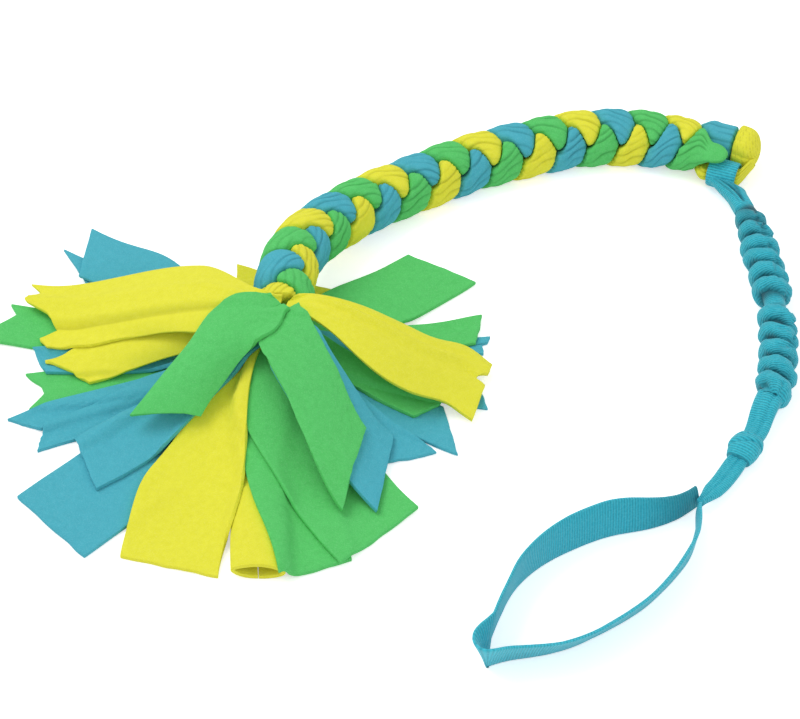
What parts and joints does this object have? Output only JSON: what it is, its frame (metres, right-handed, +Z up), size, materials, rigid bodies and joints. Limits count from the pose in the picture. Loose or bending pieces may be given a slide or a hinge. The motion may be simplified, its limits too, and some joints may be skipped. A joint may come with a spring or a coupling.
{
  "type": "dog bungee tug toy",
  "caption": "Dog tug toy: a mop of loose fleece strips on a plaited fleece rope, joined by a webbing loop to a gathered bungee sleeve and a webbing hand loop.",
  "frame": {"origin": "middle of the toy's outline, on the floor it lies on", "axes": "+Z up from the floor; +Y away from the picture's viewer, from the front of the mop toward the plait; +X to the right, from the mop toward the bungee"},
  "size_m": [0.4156, 0.3896, 0.0518],
  "materials": {
    "fleece_yellow": "matt brushed pile",
    "fleece_green": "matt brushed pile",
    "fleece_blue": "matt brushed pile",
    "webbing_teal": "ribbed, slight sheen",
    "elastic_white": "satin"
  },
  "bodies": {
    "mop_and_braid": {"strip_yellow_back": "fleece_yellow", "strip_blue_front_square": "fleece_blue", "strip_green_front_low": "fleece_green", "strip_green_left_back": "fleece_green", "strip_blue_right_low": "fleece_blue", "strip_blue_back_left_low": "fleece_blue", "strip_green_right_tip": "fleece_green", "strip_green_back_right": "fleece_green", "strip_blue_back_left": "fleece_blue", "strip_green_left_front": "fleece_green", "strip_blue_left_tip": "fleece_blue", "strip_blue_right_front": "fleece_blue", "strip_blue_left_low": "fleece_blue", "strip_blue_right_tip": "fleece_blue", "strip_green_right_low": "fleece_green", "strip_blue_left_sliver": "fleece_blue", "strip_blue_front_right_low": "fleece_blue", "strip_green_front_right": "fleece_green", "strip_yellow_curled": "fleece_yellow", "strip_yellow_front": "fleece_yellow", "strip_blue_left_folded": "fleece_blue", "strip_yellow_left_front": "fleece_yellow", "strip_blue_front_right": "fleece_blue", "strip_yellow_left": "fleece_yellow", "strip_yellow_right": "fleece_yellow", "strip_green_top_right": "fleece_green", "strip_green_top_left": "fleece_green", "mop_core": "fleece_green", "braid_strand_yellow": "fleece_yellow", "braid_strand_green": "fleece_green", "braid_strand_blue": "fleece_blue"},
    "bungee": {"braid_end_loop": "webbing_teal", "bungee_sleeve": "webbing_teal", "elastic_core": "elastic_white"},
    "handle": {"handle_strap": "webbing_teal", "knot_wrap": "webbing_teal", "hand_loop": "webbing_teal"}
  },
  "joints": [
    {"name": "loop_pivot", "type": "hinge", "parent": "mop_and_braid", "child": "bungee", "pos_m": [0.17734, 0.15352, 0.009], "axis": [-0.9301, 0.3674, 0], "range_deg": [0, 15]},
    {"name": "bungee_stretch", "type": "slide", "parent": "bungee", "child": "handle", "axis": [-0.3969, -0.9179, 0], "range_m": [0, 0.12], "stiffness_N_per_m": 300, "deforming": ["bungee_sleeve", "elastic_core"]}
  ]
}
